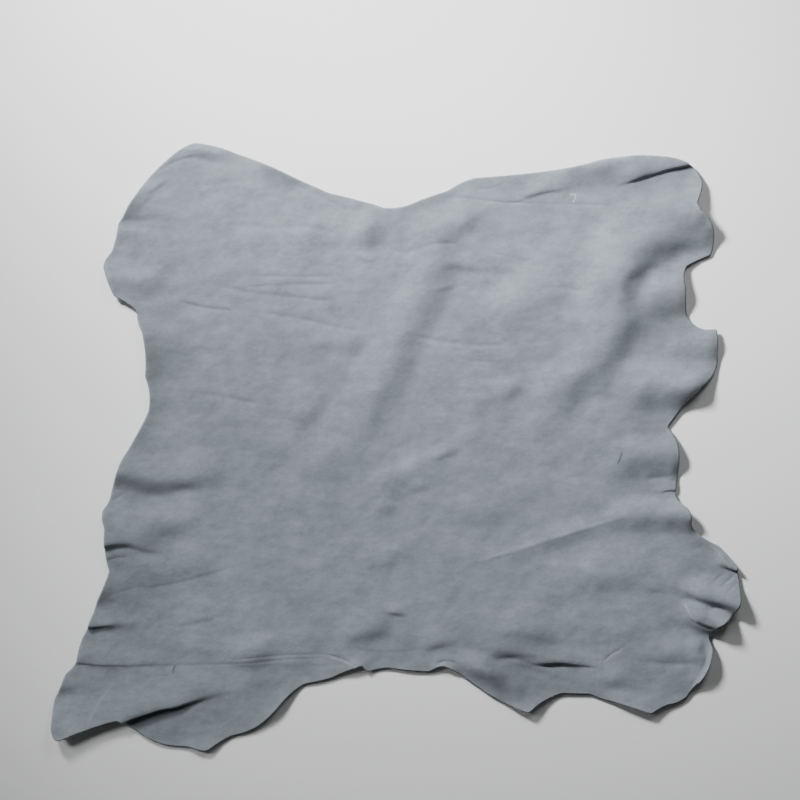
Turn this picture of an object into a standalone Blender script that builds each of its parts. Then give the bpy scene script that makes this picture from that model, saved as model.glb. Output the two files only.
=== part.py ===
"""A whole dressed hide of nubuck, its grain side buffed, lying loose on a flat surface.

One sheet of leather, 1.4 mm thick: it is cut flat as the seen edge asks, then pushed into its
folds, so that a pleat that leans over its own foot lies on the leather below it.
Lengths are in millimetres until the mesh is made: x to the right, y to the neck, z up.
"""

from collections import namedtuple

import bpy
import numpy as np
from mathutils.geometry import delaunay_2d_cdt

THICKNESS = 1.4
METRE = 0.001  # one millimetre in metres

EDGE_STEP = 9.5  # between points along the edge
FIELD_STEP = 25.0  # between points where the hide lies flat
FOLD_STEP = 18.0  # between points along a soft fold
PLEAT_STEP = 9.5  # between points along a pleat that overhangs
PLEAT_LEAN = 1.0  # a fold that leans more than this is a pleat

# Points across a fold, as shares of the fall on its gentle side (below 0) and steep side.
SOFT_ACROSS = (-1.0, -0.55, -0.22, 0.0, 0.4, 1.0)
PLEAT_ACROSS = (-1.0, -0.55, -0.25, 0.0, 0.17, 0.33, 0.5, 0.67, 0.83, 1.0)

# The edge as seen from above, clockwise from the neck: x, y, and how far the edge bows out
# (or in, below 0) on the way to the next point.
NECK_AND_RIGHT_FORE_LEG = (
    (-18, 358, -1.5), (18, 362, 1), (78, 384, 2), (117, 403, -1), (233, 414, -1),
    (291, 425, 1.5), (339, 434, 2), (399, 435, 2), (438, 425, 4), (459, 394, 1.5),
    (449, 365, -2), (462, 346, 4), (476, 312, 1),
)
RIGHT_FLANK = (
    (472, 287, -1), (435, 270, -3.5), (433, 238, -0.5), (435, 200, -4.5), (461, 176, -1),
    (480, 177, 0.5), (482, 130, 5), (461, 94, -1.5), (431, 64, 0.5), (407, 30, 3.5),
    (423, -8, 2), (419, -64, -5.5), (435, -90, 2.5), (441, -116, -2.5), (465, -138, -1),
)
RIGHT_HIND_LEG = (
    (483, -147, 0.5), (511, -180, 2), (514, -232, 5), (484, -267, -5), (470, -290, 1),
    (474, -304, 3), (456, -351, -2), (437, -374, 2.5), (408, -386, -1), (382, -400, -1),
)
RUMP_AND_TAIL_ARCH = (
    (323, -381, 1), (290, -370, 0.5), (249, -369, -1), (216, -384, -0.5), (199, -398, 1),
    (152, -378, 1), (105, -346, -1), (72, -328, -1.5), (51, -337, 1), (-10, -331, -1),
    (-42, -337, 1), (-50, -327, -1), (-93, -345, 1), (-136, -355, -2), (-171, -384, 1),
    (-200, -414, 3), (-246, -433, -1),
)
LEFT_HIND_LEG = (
    (-282, -455, 1.5), (-309, -449, 1), (-346, -446, 2), (-381, -430, 1), (-405, -412, 0),
    (-417, -409, -1), (-492, -434, 1.5), (-507, -438, 3.5), (-514, -410, 1),
    (-510, -375, -1), (-495, -340, -1.5),
)
LEFT_FLANK = (
    (-478, -321, 1), (-469, -285, -1), (-459, -263, -1), (-447, -230, -1), (-429, -186, 3.5),
    (-435, -122, 2.5), (-438, -94, -2.5), (-426, -68, 0.5), (-415, -33, 1), (-403, -8, -1),
    (-370, 54, -4), (-375, 105, -2.5), (-379, 171, 2.5),
)
LEFT_FORE_LEG = (
    (-388, 204, -2), (-421, 225, 1), (-438, 270, 2), (-426, 292, -1.5), (-415, 336, -1),
    (-403, 355, 1), (-369, 404, 1), (-336, 436, 2.5), (-301, 455, 2.5), (-238, 439, 1),
    (-178, 416, -0.5), (-99, 380, 0.5), (-51, 368, 0.5),
)
SEEN_EDGE = (
    NECK_AND_RIGHT_FORE_LEG + RIGHT_FLANK + RIGHT_HIND_LEG + RUMP_AND_TAIL_ARCH
    + LEFT_HIND_LEG + LEFT_FLANK + LEFT_FORE_LEG
)

# nose: points along the top of the fold, seen from above, its steep side on the right hand.
# rise: height at the first point, half way, and at the last.
# steep, gentle: how wide the fall is on either side.
# lean: how far the top moves over the steep side, as a share of its height.
Fold = namedtuple("Fold", "name nose rise steep gentle lean")
FOLDS = (
    Fold("right fore roll, inner", ((156, 369), (216, 382), (273, 396)), (0, 3, 0), 9, 22, 0.4),
    Fold("right fore roll, middle", ((198, 396), (269, 417), (354, 430)), (0, 9, 8), 40, 16, 0),
    Fold("right fore roll, outer", ((318, 394), (374, 407), (408, 418), (443, 428)), (0, 5, 6.5), 9, 28, 0.6),
    Fold("shoulder swell", ((291, 82), (306, 134), (318, 178), (326, 220), (339, 260), (368, 294), (420, 321), (480, 338)), (0, 17, 15), 48, 76, 0),
    Fold("flank ruffle, upper", ((186, 16), (216, 58), (252, 88), (291, 110), (323, 138), (339, 172), (362, 207), (396, 231), (447, 243)), (0, 8, 13), 46, 34, 0),
    Fold("flank ruffle, lower", ((378, 110), (432, 141), (480, 159)), (0, 3, 6), 30, 44, 0),
    Fold("flank ruffle, notch", ((306, 90), (374, 88), (441, 80)), (1, 10, 20), 46, 36, 0),
    Fold("right waist fold", ((288, -32), (351, -18), (429, -10)), (0, 7, 10), 36, 40, 0),
    Fold("right hip crease", ((384, -63), (402, -63), (428, -62)), (0, 1.5, 3.5), 8, 12, 0.4),
    Fold("right hip fold", ((300, -96), (366, -98), (441, -99)), (0, 7.5, 16), 34, 30, 0),
    Fold("long diagonal fold", ((402, -87), (306, -114), (216, -141), (99, -178)), (2, 4, 0), 22, 26, 0),
    Fold("right hip swell", ((216, -182), (321, -180), (420, -174)), (0, 4.5, 3), 46, 40, 0),
    Fold("right hind pleat", ((473, -171), (489, -173), (514, -182)), (0, 5, 9), 12, 24, 1.4),
    Fold("right hind swell", ((420, -202), (441, -213), (468, -224), (513, -238)), (3, 16, 18), 19, 34, 0),
    Fold("right hind pocket", ((420, -234), (441, -244), (461, -254), (492, -267)), (0, 16, 20), 36, 11, 0.3),
    Fold("right foot swell", ((351, -302), (408, -304), (480, -310)), (0, 3, 5), 22, 30, 0),
    Fold("right foot edge", ((459, -328), (452, -304), (447, -280)), (0, 5, 7), 14, 20, 0),
    Fold("rump fold, upper", ((147, -250), (201, -266), (258, -294)), (0, 8.5, 0), 30, 40, 0),
    Fold("rump fold, lower", ((165, -309), (216, -320), (261, -322), (309, -330)), (0, 6, 0), 9, 30, 0.3),
    Fold("right arch fall", ((63, -304), (120, -316), (186, -352)), (0, 11, 4), 36, 28, 0),
    Fold("left hind pleat", ((-515, -445), (-411, -410), (-234, -352)), (6, 12, 0), 16, 52, 1.5),
    Fold("left haunch crease", ((-489, -321), (-369, -324), (-57, -322)), (4.5, 0.3, 0.4), 6, 30, 0.3),
    Fold("left flank slit", ((-469, -268), (-444, -265), (-411, -260)), (9, 6, 0), 12, 22, 1.3),
    Fold("left flank fold, low", ((-456, -214), (-369, -188), (-243, -158)), (6, 3.5, 0), 36, 34, 0),
    Fold("left flank hook", ((-442, -142), (-399, -142), (-327, -159)), (7, 3.5, 0), 17, 26, 0.6),
    Fold("left flank, above hook", ((-441, -116), (-369, -118), (-264, -92)), (6, 7.5, 0), 32, 44, 0),
    Fold("left flank fold, mid", ((-433, -34), (-391, -40), (-346, -44), (-228, -28)), (9, 8.5, 0), 36, 36, 0.4),
    Fold("left waist hollow", ((-393, 170), (-360, 164), (-306, 153)), (10, 4, 0), 54, 30, 0),
    Fold("left shoulder ruffle", ((-438, 255), (-399, 249), (-336, 246)), (9, 9, 0), 34, 34, 0),
    Fold("left fore roll", ((-426, 350), (-376, 353), (-321, 354)), (4, 4, 0), 18, 34, 0.3),
    Fold("left fore crease", ((-390, 364), (-369, 382), (-333, 408)), (1, 2, 0), 9, 18, 0),
    Fold("left fore lip", ((-330, 434), (-298, 444), (-243, 438)), (0, 5, 0), 16, 10, 0),
    Fold("neck edge roll", ((-207, 447), (-168, 430), (-120, 404)), (0, 14, 0), 42, 10, 0),
    Fold("back fold", ((-114, -22), (-76, 14), (-45, 58), (-24, 100), (2, 152), (24, 196), (47, 243), (56, 284), (60, 320)), (4, 8.5, 10), 46, 50, 0),
    Fold("belly fold", ((-171, -6), (-144, 40), (-121, 76), (-97, 116)), (1, 4, 0), 26, 44, 0),
    Fold("belly ridge", ((-63, -81), (14, -38), (87, -3)), (0, 5, 0), 40, 24, 0),
    Fold("loin fold", ((-99, -286), (-54, -274), (-21, -262), (3, -244)), (0, 6.5, 0), 25, 40, 0),
    Fold("withers swell", ((144, 160), (168, 196), (197, 230), (240, 254)), (0, 7, 4), 50, 50, 0),
    Fold("ribs fold", ((108, 28), (123, 64), (144, 100)), (0, 2.5, 0), 22, 40, 0),
    Fold("ribs fold, far", ((147, 58), (168, 84), (195, 110)), (0, 4.5, 0), 22, 24, 0),
)

# Where the edge curls up off the surface: its middle, how far it runs to either side,
# how far in from the edge it reaches, and how high the edge stands.
Lift = namedtuple("Lift", "name middle half reach rise")
LIFTS = (
    Lift("neck", (36, 364), 70, 40, 4),
    Lift("right fore tip", (462, 392), 45, 40, 7),
    Lift("right shoulder", (474, 322), 50, 50, 8),
    Lift("right flank", (482, 146), 60, 50, 6),
    Lift("right notch", (441, 70), 60, 45, 8),
    Lift("right hip", (441, -110), 50, 45, 7),
    Lift("right hind tip", (513, -226), 42, 45, 6),
    Lift("right foot", (468, -332), 45, 30, 10),
    Lift("rump tip", (366, -394), 70, 50, 9),
    Lift("right tail tip", (198, -394), 45, 45, 8),
    Lift("right arch corner", (75, -332), 30, 30, 7),
    Lift("left arch corner", (-60, -332), 35, 30, 7),
    Lift("left hind inner edge", (-181, -394), 60, 40, 7),
    Lift("left hind tip", (-285, -452), 50, 45, 6),
    Lift("left foot", (-507, -432), 55, 50, 5),
    Lift("left flank, low", (-444, -214), 45, 40, 5),
    Lift("left flank, mid", (-436, -110), 50, 40, 5),
    Lift("left flank, high", (-387, 26), 60, 40, 5),
    Lift("left shoulder", (-411, 218), 50, 35, 7),
    Lift("left fore tip", (-393, 370), 45, 40, 8),
)

LEATHER_COLOUR = (0.29, 0.32, 0.35, 1.0)
LEATHER_ROUGHNESS = 0.92


def ease(share):
    """0 at 0 and 1 at 1, level at both ends."""
    share = np.clip(share, 0.0, 1.0)
    return share * share * (3.0 - 2.0 * share)


def bowed(corners, step):
    """The closed edge through the corners, each stretch a shallow arc, in steps of about step."""
    corners = np.array(corners, float)
    points = []
    for here, following in zip(corners, np.roll(corners, -1, axis=0)):
        start, end, bow = here[:2], following[:2], here[2]
        run = end - start
        length = np.hypot(*run)
        outward = np.array((-run[1], run[0])) / length
        pull = (start + end) / 2 + outward * 2 * bow
        share = np.arange(round(length / step) or 1)[:, None] / (round(length / step) or 1)
        points.append((1 - share) ** 2 * start + 2 * share * (1 - share) * pull + share**2 * end)
    return np.concatenate(points)


def divided(loop, longest):
    """The closed loop with every side longer than this cut into equal parts."""
    points = []
    for start, end in zip(loop, np.roll(loop, -1, axis=0)):
        count = max(1, int(np.ceil(np.hypot(*(end - start)) / longest)))
        points.append(start + (end - start) * np.arange(count)[:, None] / count)
    return np.concatenate(points)


def smooth_line(points, count=48):
    """A line of even flow through all the points."""
    points = np.array(points, float)
    first = 2 * points[0] - points[1]
    last = 2 * points[-1] - points[-2]
    points = np.vstack([first, points, last])
    spans = len(points) - 3
    share = np.linspace(0, 1, count // spans, endpoint=False)[:, None]
    line = []
    for a, b, c, d in zip(points, points[1:], points[2:], points[3:]):
        bend = (2 * a - 5 * b + 4 * c - d) * share**2 + (3 * b - a - 3 * c + d) * share**3
        line.append(b + 0.5 * ((c - a) * share + bend))
    return np.vstack(line + [points[-2]])


def place_on(line, points):
    """How far along the line each point lies, 0 to 1, and its distance, + on the right hand."""
    runs = np.diff(line, axis=0)
    lengths = np.hypot(*runs.T)
    ways = runs / lengths[:, None]
    starts = np.concatenate([[0.0], np.cumsum(lengths)])
    offset = points[:, None, :] - line[None, :-1, :]
    reach = np.clip((offset * ways).sum(axis=2), 0, lengths)
    away = offset - reach[:, :, None] * ways
    distance = np.hypot(away[:, :, 0], away[:, :, 1])
    right = offset[:, :, 0] * ways[:, 1] - offset[:, :, 1] * ways[:, 0]
    rows = np.arange(len(points))
    nearest = distance.argmin(axis=1)
    share = (starts[nearest] + reach[rows, nearest]) / starts[-1]
    signed = np.where(right[rows, nearest] > 0, 1.0, -1.0) * distance[rows, nearest]
    return share, signed


def rise_along(fold, share):
    start, middle, end = fold.rise
    return start + (middle - start) * ease(2 * share) + (end - middle) * ease(2 * share - 1)


def drift_of(fold):
    """The move over the steep side, for each millimetre of height."""
    chord = np.array(fold.nose[-1], float) - np.array(fold.nose[0], float)
    return fold.lean * np.array((chord[1], -chord[0])) / np.hypot(*chord)


def ridge_of(fold):
    """The fold's top on the flat sheet: set back from the nose by as much as it leans."""
    nose = smooth_line(fold.nose)
    lengths = np.hypot(*np.diff(nose, axis=0).T)
    share = np.concatenate([[0.0], np.cumsum(lengths)]) / lengths.sum()
    return nose - rise_along(fold, share)[:, None] * drift_of(fold)


RIDGES = [ridge_of(fold) for fold in FOLDS]


def folded(points):
    """The height that the folds give flat points, and their move over the steep sides."""
    height = np.zeros(len(points))
    move = np.zeros((len(points), 2))
    for fold, ridge in zip(FOLDS, RIDGES):
        share, signed = place_on(ridge, points)
        width = np.where(signed > 0, fold.steep, fold.gentle)
        stands = rise_along(fold, share) * (1 - ease(np.abs(signed) / width))
        height += stands
        move += stands[:, None] * drift_of(fold)
    return height, move


def unfolded(seen):
    """Where each point of the seen edge lies on the flat sheet, taking the layer on top."""
    guesses = [seen]
    for fold, ridge in zip(FOLDS, RIDGES):
        if fold.lean > PLEAT_LEAN:
            share, _ = place_on(ridge, seen)
            guesses.append(seen - rise_along(fold, share)[:, None] * drift_of(fold))
    best = seen.copy()
    top = np.full(len(seen), -1.0)
    for flat in guesses:
        for _ in range(40):
            flat = flat + 0.5 * (seen - flat - folded(flat)[1])
        height, move = folded(flat)
        good = (np.hypot(*(flat + move - seen).T) < 0.1) & (height > top)
        best[good] = flat[good]
        top[good] = height[good]
    return best


def off_edge(loop, points):
    """How far each point is from the loop, and whether it lies inside."""
    nearest = np.full(len(points), np.inf)
    inside = np.zeros(len(points), bool)
    x, y = points.T
    for start, end in zip(loop, np.roll(loop, -1, axis=0)):
        run = end - start
        offset = points - start
        reach = np.clip(offset @ run / (run @ run), 0, 1)
        nearest = np.minimum(nearest, np.hypot(*(offset - reach[:, None] * run).T))
        if start[1] != end[1]:
            crosses = (start[1] > y) != (end[1] > y)
            inside ^= crosses & (x < start[0] + run[0] * (y - start[1]) / run[1])
    return nearest, inside


def apart(points, others, gap):
    """The points that keep this gap from the others and from each other."""
    kept = list(others)
    for point in points:
        near = np.array(kept) - point
        if np.min(near[:, 0] ** 2 + near[:, 1] ** 2) > gap * gap:
            kept.append(point)
    return np.array(kept)


def fold_points(fold, ridge):
    """Rows of points along the fold, closest together where it bends most."""
    pleat = fold.lean > PLEAT_LEAN
    step = PLEAT_STEP if pleat else FOLD_STEP
    runs = np.diff(ridge, axis=0)
    lengths = np.hypot(*runs.T)
    along = np.concatenate([[0.0], np.cumsum(lengths)])
    stops = np.linspace(0, along[-1], max(2, round(along[-1] / step) + 1))
    middle = np.stack([np.interp(stops, along, ridge[:, axis]) for axis in (0, 1)], 1)
    ways = np.vstack([runs, runs[-1]])
    ways = np.stack([np.interp(stops, along, ways[:, axis]) for axis in (0, 1)], 1)
    right = np.stack([ways[:, 1], -ways[:, 0]], 1) / np.hypot(*ways.T)[:, None]
    rows = []
    for share in PLEAT_ACROSS if pleat else SOFT_ACROSS:
        rows.append(middle + right * share * (fold.steep if share > 0 else fold.gentle))
    return np.vstack(rows)


def field_points(loop):
    """A grid of even triangles over the whole sheet."""
    low, high = loop.min(axis=0), loop.max(axis=0)
    rows = []
    row_step = FIELD_STEP * np.sqrt(0.75)
    for number, y in enumerate(np.arange(low[1], high[1], row_step)):
        x = np.arange(low[0] + FIELD_STEP / 2 * (number % 2), high[0], FIELD_STEP)
        rows.append(np.stack([x, np.full(len(x), y)], 1))
    return np.vstack(rows)


def sheet_points(loop):
    """The edge's points first, then those of the pleats, the soft folds and the flat field."""
    order = sorted(range(len(FOLDS)), key=lambda index: -FOLDS[index].lean)
    points = loop
    for index in order:
        pleat = FOLDS[index].lean > PLEAT_LEAN
        rows = fold_points(FOLDS[index], RIDGES[index])
        distance, inside = off_edge(loop, rows)
        rows = rows[inside & (distance > (3.0 if pleat else 5.0))]
        points = apart(rows, points, 1.9 if pleat else min(5.0, 0.3 * FOLDS[index].steep))
    rows = field_points(loop)
    distance, inside = off_edge(loop, rows)
    return apart(rows[inside & (distance > 0.5 * EDGE_STEP)], points, 0.6 * FIELD_STEP)


def edge_lift(loop, points):
    """The height that the curled stretches of the edge add."""
    distance, _ = off_edge(loop, points)
    height = np.zeros(len(points))
    for lift in LIFTS:
        off = np.hypot(*(points - np.array(lift.middle, float)).T)
        inward = np.clip(1 - distance / lift.reach, 0, 1)
        height += lift.rise * (1 - ease(off / lift.half)) * inward**2
    return height


def make_sheet():
    """The underside's points in space and its triangles."""
    loop = divided(unfolded(bowed(SEEN_EDGE, EDGE_STEP)), 1.4 * EDGE_STEP)
    points = sheet_points(loop)
    count = len(loop)
    sides = [(index, (index + 1) % count) for index in range(count)]
    filled = delaunay_2d_cdt([tuple(point) for point in points], sides, [], 1, 1e-5)
    flat = np.array([tuple(point) for point in filled[0]])
    height, move = folded(flat)
    height += edge_lift(loop, flat)
    seen = flat + move
    seen -= (seen.min(axis=0) + seen.max(axis=0)) / 2
    return np.column_stack([seen, height - height.min()]), filled[2]


def leather():
    material = bpy.data.materials.new("nubuck")
    material.use_nodes = True
    surface = material.node_tree.nodes["Principled BSDF"]
    surface.inputs["Base Color"].default_value = LEATHER_COLOUR
    surface.inputs["Roughness"].default_value = LEATHER_ROUGHNESS
    return material


def main():
    for old in list(bpy.data.objects):
        bpy.data.objects.remove(old, do_unlink=True)
    points, triangles = make_sheet()
    mesh = bpy.data.meshes.new("hide")
    mesh.from_pydata((points * METRE).tolist(), [], [list(corners) for corners in triangles])
    mesh.update()
    mesh.materials.append(leather())
    hide = bpy.data.objects.new("hide", mesh)
    bpy.context.collection.objects.link(hide)
    body = hide.modifiers.new("thickness", "SOLIDIFY")
    body.thickness = THICKNESS * METRE
    body.offset = 1.0
    body.use_even_offset = True


main()
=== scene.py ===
"""A whole dressed nubuck hide, lying loose on a pale floor and seen from straight above.

The hide is one sheet of leather, cut flat to its own outline and pushed into the folds that its
solid has, with the finer creases, curled edges and pleats that leather of this weight takes.
Lengths are in millimetres until a mesh is made: x to the right, y to the neck, z up.
"""

import math
from collections import namedtuple

import bpy
import numpy as np
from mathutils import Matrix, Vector, kdtree, noise
from mathutils.geometry import delaunay_2d_cdt


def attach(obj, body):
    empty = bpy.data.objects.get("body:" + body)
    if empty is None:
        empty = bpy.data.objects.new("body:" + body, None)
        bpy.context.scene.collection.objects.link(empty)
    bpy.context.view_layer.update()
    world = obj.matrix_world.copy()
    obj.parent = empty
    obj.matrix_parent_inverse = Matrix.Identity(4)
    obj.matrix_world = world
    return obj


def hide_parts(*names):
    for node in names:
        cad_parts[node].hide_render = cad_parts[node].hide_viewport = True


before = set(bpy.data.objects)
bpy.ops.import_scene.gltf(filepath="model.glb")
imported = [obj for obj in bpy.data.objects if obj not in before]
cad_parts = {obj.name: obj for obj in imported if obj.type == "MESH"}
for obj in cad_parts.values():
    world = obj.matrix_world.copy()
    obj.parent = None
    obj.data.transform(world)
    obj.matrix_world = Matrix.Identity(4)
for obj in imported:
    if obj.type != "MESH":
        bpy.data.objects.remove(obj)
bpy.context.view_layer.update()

METRE = 0.001  # one millimetre in metres
THICKNESS = 1.4

# ---------------------------------------------------------------- the outline and the folds

# The edge as seen from above, clockwise from the neck: x, y, and how far the edge bows out
# (or in, below 0) on the way to the next point.
NECK_AND_RIGHT_FORE_LEG = (
    (-18, 358, -1.5), (18, 362, 1), (78, 384, 2), (117, 403, -1), (233, 414, -1),
    (291, 425, 1.5), (339, 434, 2), (399, 435, 2), (438, 425, 4), (459, 394, 1.5),
    (449, 365, -2), (462, 346, 4), (476, 312, 1),
)
RIGHT_FLANK = (
    (472, 287, -1), (435, 270, -3.5), (433, 238, -0.5), (435, 200, -4.5), (461, 176, -1),
    (480, 177, 0.5), (482, 130, 5), (461, 94, -1.5), (431, 64, 0.5), (407, 30, 3.5),
    (423, -8, 2), (419, -64, -5.5), (435, -90, 2.5), (441, -116, -2.5), (465, -138, -1),
)
RIGHT_HIND_LEG = (
    (483, -147, 0.5), (511, -180, 2), (514, -232, 5), (484, -267, -5), (470, -290, 1),
    (474, -304, 3), (456, -351, -2), (437, -374, 2.5), (408, -386, -1), (382, -400, -1),
)
RUMP_AND_TAIL_ARCH = (
    (323, -381, 1), (290, -370, 0.5), (249, -369, -1), (216, -384, -0.5), (199, -398, 1),
    (152, -378, 1), (105, -346, -1), (72, -328, -1.5), (51, -337, 1), (-10, -331, -1),
    (-42, -337, 1), (-50, -327, -1), (-93, -345, 1), (-136, -355, -2), (-171, -384, 1),
    (-200, -414, 3), (-246, -433, -1),
)
LEFT_HIND_LEG = (
    (-282, -455, 1.5), (-309, -449, 1), (-346, -446, 2), (-381, -430, 1), (-405, -412, 0),
    (-417, -409, -1), (-492, -434, 1.5), (-507, -438, 3.5), (-514, -410, 1),
    (-510, -375, -1), (-495, -340, -1.5),
)
LEFT_FLANK = (
    (-478, -321, 1), (-469, -285, -1), (-459, -263, -1), (-447, -230, -1), (-429, -186, 3.5),
    (-435, -122, 2.5), (-438, -94, -2.5), (-426, -68, 0.5), (-415, -33, 1), (-403, -8, -1),
    (-370, 54, -4), (-375, 105, -2.5), (-379, 171, 2.5),
)
LEFT_FORE_LEG = (
    (-388, 204, -2), (-421, 225, 1), (-438, 270, 2), (-426, 292, -1.5), (-415, 336, -1),
    (-403, 355, 1), (-369, 404, 1), (-336, 436, 2.5), (-301, 455, 2.5), (-238, 439, 1),
    (-178, 416, -0.5), (-99, 380, 0.5), (-51, 368, 0.5),
)
SEEN_EDGE = (
    NECK_AND_RIGHT_FORE_LEG + RIGHT_FLANK + RIGHT_HIND_LEG + RUMP_AND_TAIL_ARCH
    + LEFT_HIND_LEG + LEFT_FLANK + LEFT_FORE_LEG
)

# nose: points along the top of the fold, seen from above, its steep side on the right hand.
# rise: height at the first point, half way, and at the last.
# steep, gentle: how wide the fall is on either side.
# lean: how far the top moves over the steep side, as a share of its height.
Fold = namedtuple("Fold", "name nose rise steep gentle lean")
MAIN_FOLDS = (
    Fold("right fore roll, inner", ((156, 369), (216, 382), (273, 396)), (0, 3, 0), 9, 22, 0.4),
    Fold("right fore roll, middle", ((198, 396), (269, 417), (354, 430)), (0, 9, 8), 40, 16, 0),
    Fold("right fore roll, outer", ((318, 394), (374, 407), (408, 418), (443, 428)),
         (0, 5, 6.5), 9, 28, 0.6),
    Fold(
        "shoulder swell",
        (
            (291, 82), (306, 134), (318, 178), (326, 220), (336, 262), (360, 298),
            (411, 327), (480, 344),
        ),
        (0, 17, 16), 50, 76, 0,
    ),
    Fold(
        "flank ruffle, upper",
        (
            (189, 22), (218, 69), (254, 99), (288, 120), (318, 148), (339, 178), (363, 208),
            (396, 231), (447, 242),
        ),
        (0, 7, 12), 48, 44, 0,
    ),
    Fold("flank ruffle, lower", ((378, 110), (432, 141), (480, 159)), (0, 3, 6), 30, 44, 0),
    Fold("flank ruffle, notch", ((315, 88), (374, 93), (441, 92)), (0, 12, 20), 44, 44, 0),
    Fold("right waist fold", ((288, -32), (351, -18), (429, -10)), (0, 8, 12), 36, 40, 0),
    Fold("right hip crease", ((384, -63), (402, -63), (428, -62)), (0, 1.5, 3.5), 8, 12, 0.4),
    Fold("right hip fold", ((300, -96), (366, -98), (441, -99)), (0, 7.5, 16), 34, 30, 0),
    Fold("long diagonal fold", ((402, -87), (306, -114), (216, -141), (99, -178)),
         (2, 4, 0), 22, 26, 0),
    Fold("right hip swell", ((216, -182), (321, -180), (420, -174)), (0, 4.5, 3), 46, 40, 0),
    Fold("right hind pleat", ((473, -171), (489, -173), (514, -182)), (0, 5, 9), 14, 24, 1.2),
    Fold("right hind swell", ((420, -202), (441, -213), (468, -224), (513, -238)),
         (3, 16, 18), 19, 34, 0),
    Fold("right hind pocket", ((420, -234), (441, -244), (461, -254), (492, -267)),
         (0, 18, 23), 36, 11, 0.5),
    Fold("right foot swell", ((351, -302), (408, -304), (480, -310)), (0, 3, 2.5), 22, 26, 0),
    Fold("right foot edge", ((459, -332), (453, -312), (450, -297)), (0, 5, 6), 14, 18, 0),
    Fold("rump fold, upper", ((147, -250), (201, -266), (258, -294)), (0, 7.5, 0), 36, 40, 0),
    Fold("rump fold, lower", ((165, -309), (216, -320), (261, -322), (309, -330)),
         (0, 6, 0), 9, 30, 0.3),
    Fold("right arch fall", ((72, -315), (117, -328), (177, -360)), (0, 13.5, 4), 25, 24, 0),
    Fold("left hind pleat", ((-515, -445), (-411, -410), (-234, -352)), (6, 12, 0), 18, 52, 1.4),
    Fold("left haunch crease", ((-489, -321), (-369, -324), (-57, -322)),
         (2.8, 0.35, 0.4), 6, 30, 0.3),
    Fold("left flank slit", ((-469, -268), (-444, -265), (-411, -260)), (9, 6, 0), 13, 22, 1.2),
    Fold("left flank fold, low", ((-459, -218), (-369, -189), (-243, -159)),
         (2.5, 3.5, 0), 36, 34, 0),
    Fold("left flank hook", ((-442, -147), (-408, -141), (-375, -147), (-327, -162)),
         (8, 4.5, 0), 14, 24, 0.5),
    Fold("left flank, above hook", ((-441, -116), (-369, -118), (-264, -92)),
         (6, 7.5, 0), 32, 44, 0),
    Fold("left flank fold, mid", ((-433, -34), (-391, -40), (-346, -44), (-228, -28)),
         (11, 9.5, 0), 33, 36, 0.4),
    Fold("left waist hollow", ((-393, 172), (-360, 166), (-306, 156)), (10, 5, 0), 50, 30, 0),
    Fold("left shoulder ruffle", ((-438, 255), (-399, 249), (-336, 246)), (9, 9, 0), 34, 34, 0),
    Fold("left fore roll", ((-426, 350), (-376, 353), (-321, 354)), (4, 4, 0), 18, 34, 0.3),
    Fold("left fore crease", ((-390, 364), (-369, 382), (-333, 408)), (1, 2, 0), 9, 18, 0),
    Fold("left fore lip", ((-330, 434), (-298, 444), (-243, 438)), (0, 5, 0), 16, 10, 0),
    Fold("neck edge roll", ((-207, 450), (-168, 434), (-120, 406)), (0, 18, 0), 44, 10, 0),
    Fold(
        "back fold",
        (
            (-114, -22), (-76, 14), (-45, 58), (-24, 100), (2, 152), (24, 196), (47, 243),
            (56, 284), (60, 320),
        ),
        (4, 8.5, 10), 46, 50, 0,
    ),
    Fold("belly fold", ((-171, -6), (-144, 40), (-121, 76), (-97, 116)), (1, 4, 0), 26, 44, 0),
    Fold("belly ridge", ((-63, -81), (14, -38), (87, -3)), (0, 5, 0), 40, 24, 0),
    Fold("loin fold", ((-99, -286), (-54, -274), (-21, -262), (3, -244)), (0, 6.5, 0), 25, 40, 0),
    Fold("withers swell", ((144, 160), (168, 196), (197, 230), (240, 254)), (0, 7, 4), 50, 50, 0),
    Fold("ribs fold", ((108, 28), (123, 64), (144, 100)), (0, 2.5, 0), 22, 40, 0),
    Fold("ribs fold, far", ((147, 58), (168, 84), (195, 110)), (0, 4.5, 0), 22, 24, 0),
)

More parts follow.
